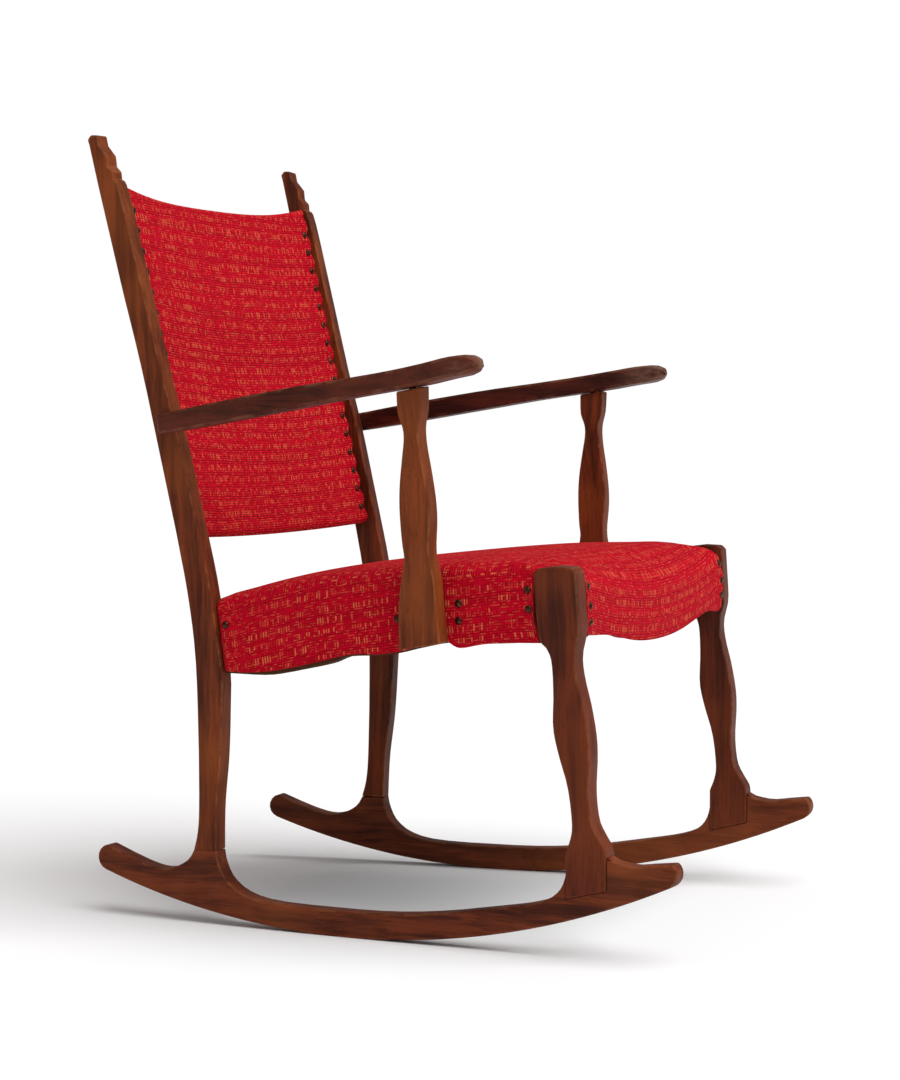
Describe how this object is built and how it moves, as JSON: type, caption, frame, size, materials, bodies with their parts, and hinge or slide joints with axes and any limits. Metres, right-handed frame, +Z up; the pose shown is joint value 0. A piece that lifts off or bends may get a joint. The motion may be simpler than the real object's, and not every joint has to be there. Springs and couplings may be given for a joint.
{
  "type": "rocking chair",
  "caption": "Open-armed wooden rocking chair with shaped flat posts, curved runners and a nailed wool cover on the padded seat and back.",
  "frame": {"origin": "middle of the overall box on the floor plane, between the runners", "axes": "+Z up, -Y the way the sitter faces, +X to the sitter's left; X = 0 is the mirror plane"},
  "size_m": [0.694, 0.7638, 0.9538],
  "materials": {
    "frame_wood": "oiled, mid brown, fine straight grain, worn along the edges",
    "arm_wood": "oiled, darkened by hands, worn greyish at the front ends",
    "inner_wood": "unfinished",
    "wool_fabric": "red wool in a ribbed slub weave with orange flecks",
    "foam": "soft foam and wadding",
    "webbing": "woven jute",
    "lining_cloth": "plain dark cotton",
    "screw_steel": "plain",
    "nail_brass": "dark antique, domed heads"
  },
  "bodies": {
    "root": {"rocker_left": "frame_wood", "rear_post_left": "frame_wood", "front_leg_left": "frame_wood", "arm_post_left": "frame_wood", "armrest_left": "arm_wood", "seat_rail_left": "inner_wood", "rocker_dowel_left": "inner_wood", "arm_rear_dowel_left": "inner_wood", "arm_front_dowel_left": "inner_wood", "arm_post_screw_left_1": "screw_steel", "arm_post_screw_left_2": "screw_steel", "corner_block_front_left": "inner_wood", "corner_block_rear_left": "inner_wood", "rocker_right": "frame_wood", "rear_post_right": "frame_wood", "front_leg_right": "frame_wood", "arm_post_right": "frame_wood", "armrest_right": "arm_wood", "seat_rail_right": "inner_wood", "rocker_dowel_right": "inner_wood", "arm_rear_dowel_right": "inner_wood", "arm_front_dowel_right": "inner_wood", "arm_post_screw_right_1": "screw_steel", "arm_post_screw_right_2": "screw_steel", "corner_block_front_right": "inner_wood", "corner_block_rear_right": "inner_wood", "seat_rail_front": "inner_wood", "seat_rail_rear": "inner_wood", "seat_strap_long_1": "webbing", "seat_strap_long_2": "webbing", "seat_strap_long_3": "webbing", "seat_strap_long_4": "webbing", "seat_strap_cross_1": "webbing", "seat_strap_cross_2": "webbing", "seat_strap_cross_3": "webbing", "seat_pad": "foam", "seat_cover": "wool_fabric", "seat_lining": "lining_cloth", "back_rail_top": "inner_wood", "back_rail_bottom": "inner_wood", "back_strap_1": "webbing", "back_strap_2": "webbing", "back_strap_3": "webbing", "back_pad": "foam", "back_cover_front": "wool_fabric", "back_cover_rear": "wool_fabric"}
  },
  "joints": []
}
